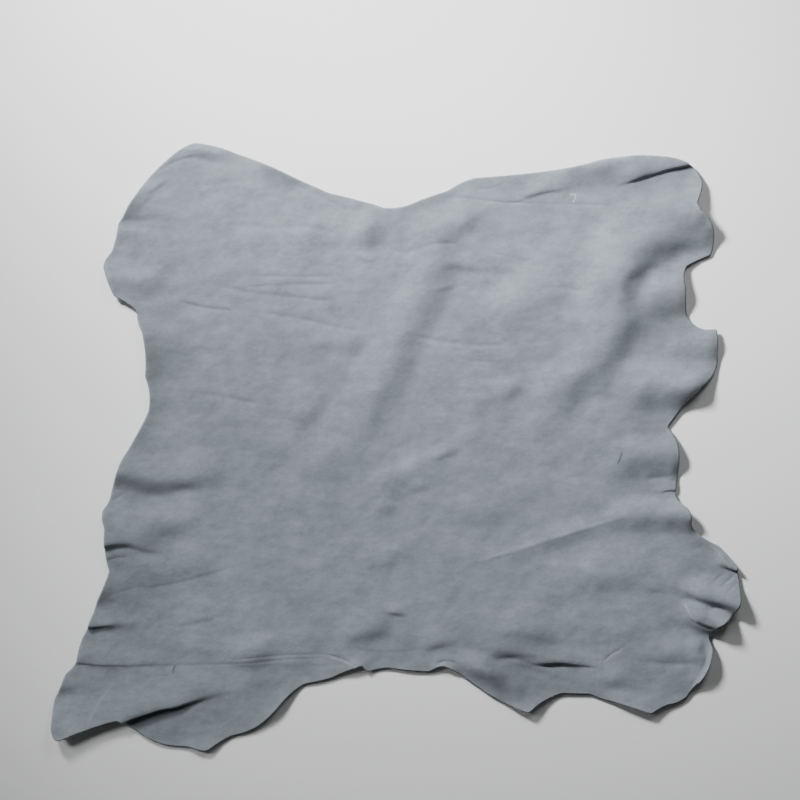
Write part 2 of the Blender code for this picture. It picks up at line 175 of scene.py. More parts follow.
# Low, soft swells that only the light shows.
SOFT_SWELLS = (
    Fold("left shoulder hollow", ((-432, 326), (-391, 321), (-342, 316)), (2, 2, 0), 20, 30, 0),
    Fold("neck dimple", ((-66, 296), (-45, 326), (-15, 354)), (0, 9, 0), 34, 28, 0),
    Fold("neck, middle", ((78, 310), (99, 340), (135, 370)), (0, 7.5, 0), 30, 40, 0),
    Fold("neck, left", ((-240, 316), (-99, 314), (6, 316)), (0, 2, 0), 36, 50, 0),
    Fold("back, upper", ((-144, 176), (-69, 153), (6, 164)), (0, 2, 0), 18, 40, 0),
    Fold("back, lower", ((60, -110), (156, -87), (246, -50)), (0, 2, 0), 30, 50, 0),
    Fold("belly dent, upper", ((-45, -90), (-16, -93), (9, -90)), (0, 3, 0), 20, 18, 0),
    Fold("belly dent, lower", ((-39, -164), (-6, -160), (33, -147)), (0, 3, 0), 22, 20, 0),
    Fold("belly spot", ((12, -56), (38, -54), (57, -46)), (0, 2.2, 0), 16, 12, 0),
    Fold("belly lines", ((42, -20), (75, -6), (102, 0)), (0, 2.5, 0), 12, 16, 0),
    Fold("hook, second", ((-447, -158), (-406, -159), (-351, -172)), (5, 3.5, 0), 34, 34, 0),
    Fold("flank tail", ((-426, -264), (-408, -261), (-375, -264)), (3, 2, 0), 14, 18, 0),
    Fold("thigh hollow", ((236, -195), (306, -194), (381, -198)), (0, 2, 0), 30, 24, 0),
    Fold("thigh crease", ((363, -204), (389, -210), (417, -213)), (0, 1.2, 0), 9, 18, 0),
    Fold("left thigh mound", ((-273, -304), (-219, -304), (-162, -296)), (0, 8.5, 0), 36, 28, 0),
    Fold("left leg hollow", ((-519, -358), (-480, -357), (-417, -356)), (5, 2.5, 0), 17, 26, 0),
    Fold("rump, left", ((-31, -242), (-4, -246), (26, -255)), (0, 3, 0), 7, 20, 0),
    Fold("rump, middle", ((30, -303), (63, -291), (99, -286)), (0, 3.4, 0), 12, 26, 0),
    Fold("rump, mottled", ((120, -312), (164, -304), (213, -312)), (0, 4, 0), 15, 24, 0),
    Fold("foot, middle", ((291, -346), (324, -348), (372, -356)), (0, 3, 0), 16, 24, 0),
    Fold("fore leg, under", ((291, 352), (366, 354), (447, 350)), (0, 3, 6), 26, 38, 0),
    Fold("neck, right", ((135, 278), (186, 286), (246, 278)), (0, 2, 0), 14, 30, 0),
    Fold("withers draw, upper", ((60, 279), (96, 276), (141, 273)), (0, 1.8, 0), 16, 18, 0),
    Fold("withers draw, lower", ((45, 236), (66, 237), (93, 242)), (0, 0.8, 0), 12, 12, 0),
    Fold("neck arc", ((-66, 296), (-42, 282), (-21, 288)), (0, 1.5, 0), 7, 10, 0),
    Fold("waist, left", ((-369, 64), (-309, 74), (-234, 63)), (2, 2, 0), 30, 34, 0),
    Fold("rump, fall", ((90, -286), (186, -280), (282, -304)), (0, 4.5, 0), 44, 30, 0),
    Fold("left foot, turned up", ((-534, -452), (-468, -426), (-399, -405)), (8, 8, 0), 14, 70, 0),
    Fold("flank ruffle, foot", ((201, 50), (246, 88), (306, 134)), (0, 5.5, 0), 44, 44, 0),
    Fold("shoulder swell, foot", ((320, 194), (329, 224), (339, 254), (357, 286)),
         (0, 8, 0), 34, 60, 0),
)

# Lines that show both in the relief and in the colour.
SCRATCH = ((312, -322), (322, -312), (340, -302))
THIN_LINE = ((308, -290), (303, -332), (302, -368))
ARCH_LIP = ((-102, -315), (-81, -321), (-58, -330))

# Fine creases: points along the crease, how deep it is (below 0: a raised lip), half its width.
Crease = namedtuple("Crease", "name line depth width")
CREASES = (
    Crease("fore roll line", ((71, 375), (126, 370), (171, 366), (201, 369)), 0.9, 2),
    Crease("fore long line", ((156, 366), (246, 364), (339, 362)), 0.52, 2),
    Crease("fore roll nick", ((111, 392), (134, 386), (165, 394)), 0.52, 2),
    Crease("neck wrinkle", ((-18, 300), (11, 291), (38, 298), (62, 304), (102, 304)), 0.75, 2.6),
    Crease("withers wrinkle, upper", ((66, 267), (119, 262), (189, 255)), 0.9, 5),
    Crease("withers wrinkle, faint", ((126, 296), (171, 284), (210, 278)), 0.52, 2.5),
    Crease("withers wrinkle, left", ((54, 230), (81, 236), (111, 246)), 0.4, 3),
    Crease("withers wrinkle, lower", ((12, 170), (66, 159), (126, 152), (183, 154)), 0.9, 3.2),
    Crease("ribs wrinkle", ((72, 142), (108, 130), (174, 124)), 0.52, 3),
    Crease("ribs wrinkle, right", ((210, 238), (246, 238), (297, 232)), 0.52, 2.5),
    Crease("back wrinkle, clear", ((-327, 220), (-306, 213), (-282, 208), (-238, 204)), 1.2, 2.4),
    Crease("back wrinkle, long", ((-273, 242), (-222, 232), (-159, 225), (-81, 216)), 0.9, 3),
    Crease("back wrinkle, top", ((-228, 258), (-159, 255), (-81, 256)), 0.6, 2.4),
    Crease("back wrinkle, second", ((-234, 238), (-159, 243), (-75, 244)), 0.6, 2.4),
    Crease("back wrinkle, low", ((-225, 204), (-144, 192), (-75, 176), (-27, 171)), 1.0, 3.2),
    Crease("neck line", ((-255, 333), (-174, 328), (-111, 326), (-75, 309)), 0.9, 4),
    Crease("belly wrinkle", ((-312, 82), (-255, 74), (-198, 62)), 1.0, 3.2),
    Crease("neck side wrinkle", ((-324, 388), (-271, 393), (-216, 400)), 0.52, 3),
    Crease("neck edge wrinkle", ((-162, 400), (-126, 381), (-81, 360), (-48, 348)), 0.52, 2.6),
    Crease("fore leg crease", ((-384, 370), (-361, 384), (-336, 400)), 0.6, 2.6),
    Crease("fore leg arc", ((-357, 412), (-337, 424), (-316, 432), (-291, 435)), 0.9, 2.4),
    Crease("flank slit line", ((-438, -90), (-423, -80), (-405, -69)), 0.6, 1.8),
    Crease("flank line", ((-387, -214), (-316, -201), (-231, -176)), 0.5, 2.4),
    Crease("flank line, short", ((-435, -225), (-399, -213), (-369, -206)), 0.4, 2.4),
    Crease("flank line, faint", ((-333, -270), (-294, -264), (-252, -252)), 0.52, 2.6),
    Crease("hook line", ((-435, -172), (-420, -166), (-399, -165)), 0.9, 2),
    Crease("haunch line", ((-414, -327), (-324, -326), (-234, -324), (-159, -318), (-93, -316)),
           0.5, 1.8),
    Crease("haunch line, upper", ((-252, -318), (-171, -312), (-93, -310)), 0.52, 1.8),
    Crease("arch lip, left", ARCH_LIP, -0.45, 1.8),
    Crease("arch crease, right", ((60, -328), (72, -321), (93, -324)), 1.35, 2),
    Crease("arch lip line", ((-105, -310), (-84, -316), (-62, -325)), 1.0, 1.6),
    Crease("arch line", ((-69, -304), (-9, -308), (51, -302)), 0.45, 2.6),
    Crease("rump crease, sharp", ((216, -326), (261, -326), (306, -333)), 1.35, 2.4),
    Crease("rump crease, soft", ((138, -321), (186, -315), (225, -320)), 0.9, 4),
    Crease("rump crease, low", ((162, -327), (201, -334), (252, -354)), 0.9, 4),
    Crease("thigh line", ((366, -320), (420, -326), (462, -320)), 0.9, 4),
    Crease("hip crease", ((399, -68), (411, -66), (426, -66)), 1.5, 1.8),
    Crease("hip crease, upper", ((372, -48), (393, -46), (417, -44)), 0.75, 3.2),
    Crease("tip wrinkle, upper", ((485, -212), (497, -201), (509, -190)), 0.7, 1.7),
    Crease("tip wrinkle, lower", ((491, -222), (503, -211), (514, -202)), 0.6, 1.7),
    Crease("tip wrinkle, inner", ((470, -206), (483, -196), (494, -185)), 0.45, 1.7),
    Crease("tip wrinkle, top", ((465, -152), (479, -159), (497, -178)), 0.6, 1.8),
    Crease("pocket crease", ((432, -220), (453, -231), (480, -249)), 1.5, 3.2),
    Crease("pocket lip crease", ((442, -252), (460, -261), (482, -266)), 2.6, 3.6),
    Crease("foot rim crease", ((468, -298), (464, -322), (453, -344), (438, -364)), 1.8, 3),
    Crease("long fold ridge", ((100, -178), (182, -154), (267, -127), (354, -101)), -0.8, 2.6),
    Crease("scratch", SCRATCH, 0.6, 2),
    Crease("thin line, rump", THIN_LINE, 0.15, 2),
)

# Where the edge stands off the floor: its middle, how far it runs to either side, how far in
# from the edge it reaches, how high it rises, and how much of that it loses again at the very
# edge, where the leather rolls over and down.
Lift = namedtuple("Lift", "name middle half reach rise roll")
LIFTS = (
    Lift("neck", (36, 364), 70, 40, 4, 0),
    Lift("right fore tip", (462, 392), 45, 40, 7, 0.6),
    Lift("right shoulder", (474, 322), 50, 50, 7, 0.8),
    Lift("shoulder bay", (434, 235), 45, 40, 6, 0.9),
    Lift("right flank", (482, 146), 60, 50, 8, 0.9),
    Lift("right notch", (438, 66), 60, 50, 6, 1),
    Lift("right waist", (420, -40), 60, 40, 6, 1),
    Lift("right hip", (441, -110), 50, 45, 6, 0.8),
    Lift("right hind tip", (513, -226), 42, 45, 6, 0.4),
    Lift("right foot", (468, -332), 50, 26, 13, 0),
    Lift("rump tip", (366, -394), 70, 50, 9, 0),
    Lift("right tail tip", (198, -394), 45, 45, 8, 0),
    Lift("right arch corner", (75, -332), 30, 30, 5, 0),
    Lift("left arch corner", (-60, -332), 35, 30, 7, 0),
    Lift("left hind inner edge", (-181, -394), 60, 40, 7, 0),
    Lift("left hind tip", (-285, -452), 50, 45, 6, 0),
    Lift("left foot", (-507, -432), 55, 50, 5, 0),
    Lift("left flank, low", (-444, -214), 45, 40, 5, 0),
    Lift("left flank, mid", (-436, -110), 50, 40, 5, 0),
    Lift("left flank, high", (-387, 26), 60, 40, 5, 0),
    Lift("left waist", (-376, 120), 80, 60, 9, 0),
    Lift("left shoulder", (-411, 218), 50, 35, 7, 0),
    Lift("left fore tip", (-393, 370), 45, 40, 8, 0),
)
ROLL_REACH = 0.4  # how far in the roll at the very edge starts, as a share of the lift's reach

# Small marks on the buffed side, mostly marks of use; the three on raised lips are painted
# highlights: points along the mark, half its width, how strong it is.
Mark = namedtuple("Mark", "name line width strength")
SCUFFS_AND_HIGHLIGHTS = (
    Mark("scratch", SCRATCH, 1.2, 0.28),
    Mark("thin line, rump", THIN_LINE, 1.2, 0.08),
    Mark("fore leg nick, bar", ((262, 378), (266, 379), (269, 378)), 0.9, 0.9),
    Mark("fore leg nick, tail", ((269, 378), (269, 373), (266, 368)), 0.8, 0.8),
    # The arch lip, the torn lip and the pocket lip are painted highlights: paler nap where these
    # raised lips catch the light.
    Mark("arch lip, left", ARCH_LIP, 1.4, 0.12),
    Mark("torn lip, right hind", ((472, -149), (485, -157), (503, -175)), 2, 0.15),
    Mark("pocket lip", ((435, -236), (446, -249), (460, -255), (476, -258)), 1.8, 0.22),
    Mark("left leg line", ((-461, -400), (-444, -374), (-424, -354)), 1.5, 0.12),
)
DARK_NICKS = (
    Mark("flank nick", ((338, -9), (336, -16), (333, -23)), 1.3, 0.8),
    Mark("left thigh nick", ((-331, -327), (-334, -333)), 1.3, 0.8),
)

# Painted shade (below 0) and painted light, in part uneven dye: patches that darken the colour
# where shade falls, as in the pocket, beside the arch and along the right edge, and lighten it
# where the light falls, with some real dye variation. The middle, how far it reaches, and by what
# share.
ShadePatch = namedtuple("ShadePatch", "name middle reach depth")
SHADE_AND_DYE_PATCHES = (
    ShadePatch("left side", (-200, 30), 260, -0.12),
    ShadePatch("left waist", (-370, 125), 110, -0.24),
    ShadePatch("left flank", (-410, -185), 110, -0.22),
    ShadePatch("left flank, upper", (-375, -50), 80, -0.17),
    ShadePatch("left thigh", (-240, -255), 120, 0.12),
    ShadePatch("left foot", (-490, -415), 80, 0.14),
    ShadePatch("haunch, inner", (-170, -365), 80, -0.12),
    ShadePatch("neck", (-90, 330), 110, 0.1),
    ShadePatch("left fore leg", (-250, 400), 90, 0.07),
    ShadePatch("neck, right", (115, 395), 80, 0.07),
    ShadePatch("shoulder", (240, 280), 150, 0.1),
    ShadePatch("right fore tip", (400, 405), 90, -0.17),
    ShadePatch("shoulder edge", (435, 210), 110, -0.16),
    ShadePatch("flank edge, right", (415, 0), 110, -0.2),
    ShadePatch("loin", (150, -50), 140, -0.07),
    ShadePatch("rump, upper", (115, -225), 80, 0.08),
    # painted shade in the hollow under the pocket lip
    ShadePatch("pocket", (472, -274), 36, -0.25),
    ShadePatch("right hip", (300, -210), 190, 0.13),
    # painted shade on the slope that falls away to the arch
    ShadePatch("rump, beside the arch", (180, -325), 120, -0.23),
)

# ---------------------------------------------------------------- how finely the sheet is laid out

EDGE_TRACE = 1.0  # between the points that trace the seen edge
EDGE_SOFTENING = 2  # over how many of them its corners are rounded
EDGE_EVERY = 4  # every fourth of them is kept
LONGEST_SIDE = 5.2  # a side of the flat edge that is longer is cut into equal parts
EDGE_RING = 2.0  # how far inside the edge its second row of points runs
FIELD_STEP = 5.0  # between points where the hide lies flat
FOLD_ALONG = 5.0  # between points along a fold
CREASE_ALONG = 4.0  # between points along a crease
MARK_ALONG = 2.0  # between points along a mark
FINE_FOLD = 20.0  # a fold whose steep side is narrower than this has rows of its own
PLEAT_LEAN = 1.0  # a fold that leans more than this is a pleat

# Nearest that a new point may come to those already there, by what it belongs to.
RING_GAP = 1.2
CREASE_GAP = 1.1
MARK_GAP = 0.8
FOLD_GAP = 1.6
FIELD_GAP = 0.62 * FIELD_STEP

# Where the rows beside a fold or a crease run, in widths of its side.
FOLD_ACROSS = (-0.3, -0.15, 0.0, 0.17, 0.34, 0.5, 0.67, 0.84, 1.0)
PLEAT_ACROSS = (
    -0.5, -0.35, -0.22, -0.11, 0.0, 0.09, 0.18, 0.27, 0.36, 0.45, 0.55, 0.64, 0.73, 0.82, 0.91,
    1.0, 1.2,
)
CREASE_ACROSS = (-1.8, -0.9, 0.0, 0.9, 1.8)


def ease(share):
    """0 at 0 and 1 at 1, level at both ends."""
    share = np.clip(share, 0.0, 1.0)
    return share * share * (3.0 - 2.0 * share)


def bowed(corners, step):
    """The closed edge through the corners, each stretch a shallow arc, in steps of about step."""
    corners = np.array(corners, float)
    points = []
    for here, following in zip(corners, np.roll(corners, -1, axis=0)):
        start, end, bow = here[:2], following[:2], here[2]
        run = end - start
        length = np.hypot(*run)
        outward = np.array((-run[1], run[0])) / length
        pull = (start + end) / 2 + outward * 2 * bow
        count = round(length / step) or 1
        share = np.arange(count)[:, None] / count
        points.append((1 - share) ** 2 * start + 2 * share * (1 - share) * pull + share**2 * end)
    return np.concatenate(points)


def softened(loop, reach):
    """The closed loop with its corners rounded over about this many points."""
    shares = np.exp(-0.5 * (np.arange(-3 * reach, 3 * reach + 1) / reach) ** 2)
    shares /= shares.sum()
    steps = range(-3 * reach, 3 * reach + 1)
    return sum(share * np.roll(loop, step, axis=0) for share, step in zip(shares, steps))


def divided(loop, longest):
    """The closed loop with every side longer than this cut into equal parts."""
    points = []
    for start, end in zip(loop, np.roll(loop, -1, axis=0)):
        count = max(1, int(np.ceil(np.hypot(*(end - start)) / longest)))
        points.append(start + (end - start) * np.arange(count)[:, None] / count)
    return np.concatenate(points)


def smooth_line(points, count=60):
    """A line of even flow through all the points."""
    points = np.array(points, float)
    first = 2 * points[0] - points[1]
    last = 2 * points[-1] - points[-2]
    points = np.vstack([first, points, last])
    spans = len(points) - 3
    share = np.linspace(0, 1, max(2, count // spans), endpoint=False)[:, None]
    line = []
    for a, b, c, d in zip(points, points[1:], points[2:], points[3:]):
        bend = (2 * a - 5 * b + 4 * c - d) * share**2 + (3 * b - a - 3 * c + d) * share**3
        line.append(b + 0.5 * ((c - a) * share + bend))
    return np.vstack(line + [points[-2]])


def shares_along(line):
    """How far along the line each of its own points lies, 0 to 1, and the line's length."""
    lengths = np.hypot(*np.diff(line, axis=0).T)
    return np.concatenate([[0.0], np.cumsum(lengths)]) / lengths.sum(), lengths.sum()


def place_on(line, points):
    """How far along the line each point lies, 0 to 1, and its distance, + on the right hand."""
    runs = np.diff(line, axis=0)
    lengths = np.hypot(*runs.T)
    ways = runs / lengths[:, None]
    starts = np.concatenate([[0.0], np.cumsum(lengths)])
    offset = points[:, None, :] - line[None, :-1, :]
    reach = np.clip((offset * ways).sum(axis=2), 0, lengths)
    away = offset - reach[:, :, None] * ways
    distance = np.hypot(away[:, :, 0], away[:, :, 1])
    right = offset[:, :, 0] * ways[:, 1] - offset[:, :, 1] * ways[:, 0]
    rows = np.arange(len(points))
    nearest = distance.argmin(axis=1)
    share = (starts[nearest] + reach[rows, nearest]) / starts[-1]
    signed = np.where(right[rows, nearest] > 0, 1.0, -1.0) * distance[rows, nearest]
    return share, signed


def near(line, points, reach):
    """Which points could lie within reach of the line."""
    low, high = line.min(axis=0) - reach, line.max(axis=0) + reach
    return np.flatnonzero(((points > low) & (points < high)).all(axis=1))


def rise_along(fold, share):
    """The height of the fold's top at these places along it."""
    start, middle, end = fold.rise
    return start + (middle - start) * ease(2 * share) + (end - middle) * ease(2 * share - 1)


def drift_of(fold):
    """The move over the steep side, for each millimetre of height."""
    chord = np.array(fold.nose[-1], float) - np.array(fold.nose[0], float)
    return fold.lean * np.array((chord[1], -chord[0])) / np.hypot(*chord)


def ridge_of(fold):
    """The fold's top on the flat sheet: set back from the nose by as much as it leans."""
    nose = smooth_line(fold.nose)
    share, _ = shares_along(nose)
    return nose - rise_along(fold, share)[:, None] * drift_of(fold)


STRAY = 4.0  # how far a fold wanders from its row
STRAY_LENGTH = 38.0
STRAY_SEED = 5  # without it the folds would wander another way in each run
STRAY_SLICE = 5.0
FOLDS = MAIN_FOLDS + SOFT_SWELLS
RIDGES = [ridge_of(fold) for fold in FOLDS]


def strayed(points):
    """The points moved a little this way and that, so that no fold runs as true as its row."""
    noise.seed_set(STRAY_SEED)
    return points + STRAY * np.array([
        noise.noise_vector(Vector((x / STRAY_LENGTH, y / STRAY_LENGTH, STRAY_SLICE)))[:2]
        for x, y in points
    ])


def folded(points):
    """The height that the folds give flat points, and their move over the steep sides."""
    points = strayed(points)
    height = np.zeros(len(points))
    move = np.zeros((len(points), 2))
    for fold, ridge in zip(FOLDS, RIDGES):
        inside = near(ridge, points, max(fold.steep, fold.gentle))
        if not len(inside):
            continue
        share, signed = place_on(ridge, points[inside])
        width = np.where(signed > 0, fold.steep, fold.gentle)
        stands = rise_along(fold, share) * (1 - ease(np.abs(signed) / width))
        height[inside] += stands
        move[inside] += stands[:, None] * drift_of(fold)
    return height, move


UNFOLD_ROUNDS = 30
UNFOLD_STEP = 0.5  # the share of the error that each round takes away
UNFOLD_ERROR = 0.1  # how near a good answer has to come


def unfolded(seen):
    """Where each point of the seen edge lies on the flat sheet, taking the layer on top."""
    guesses = [seen]
    for fold, ridge in zip(FOLDS, RIDGES):
        if fold.lean > PLEAT_LEAN:
            share, _ = place_on(ridge, seen)
            guesses.append(seen - rise_along(fold, share)[:, None] * drift_of(fold))
    best = seen.copy()
    top = np.full(len(seen), -1.0)
    for flat in guesses:
        for _ in range(UNFOLD_ROUNDS):
            flat = flat + UNFOLD_STEP * (seen - flat - folded(flat)[1])
        height, move = folded(flat)
        error = np.hypot(*(flat + move - seen).T)
        good = (error < UNFOLD_ERROR) & (height > top)
        best[good] = flat[good]
        top[good] = height[good]
    return best


# ---------------------------------------------------------------- the sheet's points

def within(loop, points):
    """Which points lie inside the closed loop."""
    inside = np.zeros(len(points), bool)
    x, y = points.T
    for start, end in zip(loop, np.roll(loop, -1, axis=0)):
        if start[1] != end[1]:
            crosses = (start[1] > y) != (end[1] > y)
            run = end - start
            inside ^= crosses & (x < start[0] + run[0] * (y - start[1]) / run[1])
    return inside


def tree_of(points):
    tree = kdtree.KDTree(len(points))
    for number, (x, y) in enumerate(points):
        tree.insert((x, y, 0.0), number)
    tree.balance()
    return tree


def distance_to(tree, points):
    """How far each point is from the nearest one in the tree."""
    return np.array([tree.find((x, y, 0.0))[2] for x, y in points])


def offsets_across(fold, shares):
    """How far the rows beside a fold lie from its ridge, + on its steep side."""
    return [share * (fold.steep if share > 0 else fold.gentle) for share in shares]


def rows_along(line, step, offsets):
    """Rows of points beside the line, at these distances to its right."""
    share, length = shares_along(line)
    stops = np.linspace(0, 1, max(2, round(length / step) + 1))
    middle = np.stack([np.interp(stops, share, line[:, axis]) for axis in (0, 1)], 1)
    ways = np.gradient(middle, axis=0)
    right = np.stack([ways[:, 1], -ways[:, 0]], 1) / np.hypot(*ways.T)[:, None]
    return np.vstack([middle + right * offset for offset in offsets])


def ring_inside(loop):
    """A second row of points, just inside the edge."""
    ways = np.roll(loop, -1, axis=0) - np.roll(loop, 1, axis=0)
    inward = np.stack([ways[:, 1], -ways[:, 0]], 1) / np.hypot(*ways.T)[:, None]
    return loop + inward * EDGE_RING


def field_points(loop):
    """A grid of even triangles over the whole sheet."""
    low, high = loop.min(axis=0), loop.max(axis=0)
    rows = []
    row_step = FIELD_STEP * np.sqrt(0.75)  # the height of a triangle with equal sides
    for number, y in enumerate(np.arange(low[1], high[1], row_step)):
        x = np.arange(low[0] + FIELD_STEP / 2 * (number % 2), high[0], FIELD_STEP)
        rows.append(np.stack([x, np.full(len(x), y)], 1))
    return np.vstack(rows)


def batches(loop):
    """The inner points in order of need, each batch with the gap that it keeps from the rest."""
    yield ring_inside(loop), RING_GAP
    for fold, ridge in zip(FOLDS, RIDGES):
        if fold.lean > PLEAT_LEAN:
            yield rows_along(ridge, FOLD_ALONG, offsets_across(fold, PLEAT_ACROSS)), CREASE_GAP
    for crease in CREASES:
        offsets = [share * crease.width for share in CREASE_ACROSS]
        yield rows_along(smooth_line(crease.line), CREASE_ALONG, offsets), CREASE_GAP
    for mark in SCUFFS_AND_HIGHLIGHTS + DARK_NICKS:
        offsets = [share * mark.width for share in CREASE_ACROSS]
        yield rows_along(smooth_line(mark.line), MARK_ALONG, offsets), MARK_GAP
    for fold, ridge in zip(FOLDS, RIDGES):
        if fold.lean <= PLEAT_LEAN and fold.steep < FINE_FOLD:
            yield rows_along(ridge, FOLD_ALONG, offsets_across(fold, FOLD_ACROSS)), FOLD_GAP
    yield field_points(loop), FIELD_GAP


def sheet_points(loop):
    """The edge's points first, then the rest, none too near another or the edge."""
    points = loop
    for rows, gap in batches(loop):
        rows = rows[within(loop, rows)]
        points = np.vstack([points, rows[distance_to(tree_of(points), rows) > gap]])
    return points


# ---------------------------------------------------------------- the fine relief

CURL_REACH = 16.0  # how far in from the edge the leather starts to curl
CURL_RISE = 1.1
CURL_LENGTH = 46.0  # the curl comes and goes along the edge
CURL_GAIN, CURL_CUT = 2.2, 0.6
WAVE_LENGTH = 105.0  # the slow waves of a hide that has hung, been rolled and laid out again
WAVE_RISE = 4.2
PUCKER_LENGTH = 24.0
PUCKER_RISE = 0.7
DRAWN_LENGTH = 15.0  # fine draws across the back, which run from side to side
DRAWN_STRETCH = 5.0
DRAWN_SLANT = 0.13  # how far they drop for each millimetre to the right
DRAWN_RISE = 0.5
DRAWN_LEAST = 0.4  # the share of it left at the tail
DRAWN_FROM, DRAWN_OVER = -150, 300  # y where they start to grow towards the neck, over how far
CREASE_FADE = 5  # a crease fades over a fifth of its length at either end
CREASE_REACH = 4  # how far a crease acts, in half widths
CREASE_LIP = 0.35  # the raised lip beside it, as a share of its depth
LIP_PLACE = 1.9  # how far from the crease it stands, in half widths
MARK_REACH = 3  # how far a mark acts, in half widths

OCTAVES = (1.0, 2.0, 3)  # how fast the finer noise weakens, how much finer, how many times

# Each noise takes a slice of its own.
SLOW_SLICE, PUCKER_SLICE, CURL_SLICE, WEAR_SLICE, DRAWN_SLICE = 1.0, 2.0, 3.0, 4.0, 6.0


def waves(points, length, slice_height):
    """Soft noise between 0 and 1 with about this distance from crest to crest."""
    return np.array([
        0.5 + 0.5 * noise.fractal(Vector((x / length, y / length, slice_height)), *OCTAVES)
        for x, y in points
    ])


def creased(points):
    """The height that the fine creases add."""
    height = np.zeros(len(points))
    for crease in CREASES:
        line = smooth_line(crease.line)
        inside = near(line, points, CREASE_REACH * crease.width)
        if not len(inside):
            continue
        share, signed = place_on(line, points[inside])
        fade = ease(CREASE_FADE * share) * ease(CREASE_FADE * (1 - share))
        bed = np.exp(-((signed / crease.width) ** 2))
        lip = CREASE_LIP * np.exp(-(((signed + LIP_PLACE * crease.width) / crease.width) ** 2))
        height[inside] += crease.depth * fade * (lip - bed)
    return height


def edge_lift(distance, points):
    """The height of the stretches of the edge that stand off the floor, and of its curl."""
    height = np.zeros(len(points))
    for lift in LIFTS:
        off = np.hypot(*(points - np.array(lift.middle, float)).T)
        inward = distance / lift.reach
        slope = np.clip(1 - inward, 0, 1) ** 2
        slope -= lift.roll * np.clip(1 - inward / ROLL_REACH, 0, 1) ** 2
        height += lift.rise * (1 - ease(off / lift.half)) * slope
    curl = np.clip(1 - distance / CURL_REACH, 0, 1) ** 2
    comes = ease(CURL_GAIN * waves(points, CURL_LENGTH, CURL_SLICE) - CURL_CUT)
    return height + CURL_RISE * curl * comes


def slow_waves(points):
    """The slow waves, the puckers and the fine draws across the back."""
    slow = WAVE_RISE * waves(points, WAVE_LENGTH, SLOW_SLICE)
    slow = slow + PUCKER_RISE * waves(points, PUCKER_LENGTH, PUCKER_SLICE)
    slanted = points + np.outer(points[:, 0], (0.0, DRAWN_SLANT))
    drawn = waves(slanted / (DRAWN_STRETCH, 1.0), DRAWN_LENGTH, DRAWN_SLICE)
    to_neck = ease((points[:, 1] - DRAWN_FROM) / DRAWN_OVER)
    return slow + DRAWN_RISE * drawn * (DRAWN_LEAST + (1 - DRAWN_LEAST) * to_neck)


def marked(marks, points):
    """How strongly each point carries the marks, 0 to 1."""
    strength = np.zeros(len(points))
    for mark in marks:
        line = smooth_line(mark.line)
        inside = near(line, points, MARK_REACH * mark.width)
        if len(inside):
            _, signed = place_on(line, points[inside])
            here = mark.strength * np.exp(-((signed / mark.width) ** 2))
            strength[inside] = np.maximum(strength[inside], here)
    return strength


def shade_and_dye_of(points):
    """By what share each point is painted paler or darker: painted light and painted shade, in
    part uneven dye.
    """
    paler = np.zeros(len(points))
    for patch in SHADE_AND_DYE_PATCHES:
        away = np.hypot(*(points - np.array(patch.middle, float)).T)
        paler += patch.depth * (1 - ease(away / patch.reach))
    return paler


# ---------------------------------------------------------------- the sheet as a mesh

EDGE_BULGE = 0.3  # how far the cut edge stands out at half its thickness
EDGE_ROUNDING = 0.25  # how far its upper corner is worn back
EDGE_WEAR = 0.1  # and down
EDGE_MIDDLE = 0.45  # where on the thickness it stands out most
EVENING_ROUNDS = 5  # how often the ways that the face points are evened out
WORN_STRENGTH = 0.15  # how much paler the face is at its worn edge
WORN_WIDTH = 4.5
WORN_LENGTH = 9.0  # the wear comes and goes along the edge
INSIDE = 1  # only the triangles inside the edge
SAME_PLACE = 1e-6  # points that are nearer than this are one point
NUBUCK_FACE, FLESH_SIDE, CUT_EDGE = 0, 1, 2  # in the order that the hide takes its materials


def normals_of(points, triangles):
    """The way each point faces, evened out so that the face doesn't cut itself in a tight bend."""
    a, b, c = (points[triangles[:, corner]] for corner in range(3))
    facing = np.cross(b - a, c - a)
    for _ in range(EVENING_ROUNDS):
        normals = np.zeros_like(points)
        for corner in range(3):
            np.add.at(normals, triangles[:, corner], facing)
        facing = normals[triangles].sum(axis=1)
        facing /= np.linalg.norm(facing, axis=1, keepdims=True)
    return normals / np.linalg.norm(normals, axis=1, keepdims=True)


def closed_sheet(under, triangles, count):
    """The underside, the face above it and a worn cut edge round the first count points."""
    normals = normals_of(under, triangles)
    face = under + THICKNESS * normals
    rim = under[:count]
    ways = np.roll(rim, -1, axis=0) - np.roll(rim, 1, axis=0)
    outward = np.cross(ways, normals[:count])
    outward /= np.linalg.norm(outward, axis=1, keepdims=True)
    outward *= -1.0 if np.cross(outward[0], ways[0])[2] < 0 else 1.0
    face[:count] += -EDGE_ROUNDING * outward - EDGE_WEAR * normals[:count]
    middle = rim + EDGE_MIDDLE * THICKNESS * normals[:count] + EDGE_BULGE * outward
    points = np.vstack([under, face, middle])
    shell = len(under)
    here = np.arange(count)
    following = (here + 1) % count
    lower = np.stack([here, following, 2 * shell + following, 2 * shell + here], 1)
    upper = np.stack([2 * shell + here, 2 * shell + following, shell + following, shell + here], 1)
    faces = triangles[:, ::-1].tolist() + (triangles + shell).tolist()
    faces += lower[:, ::-1].tolist() + upper[:, ::-1].tolist()
    slots = [FLESH_SIDE] * len(triangles) + [NUBUCK_FACE] * len(triangles)
    return points, faces, slots + [CUT_EDGE] * (2 * count)


def add_values(mesh, name, values):
    """Gives each point of the mesh a number that a material can read by this name."""
    layer = mesh.attributes.new(name, "FLOAT", "POINT")
    layer.data.foreach_set("value", values.astype(np.float32))


def flat_edge():
    """The sheet's edge as it was cut: the seen edge with its folds and pleats laid out flat."""
    edge = softened(bowed(SEEN_EDGE, EDGE_TRACE), EDGE_SOFTENING)
    return divided(unfolded(edge[::EDGE_EVERY]), LONGEST_SIDE)


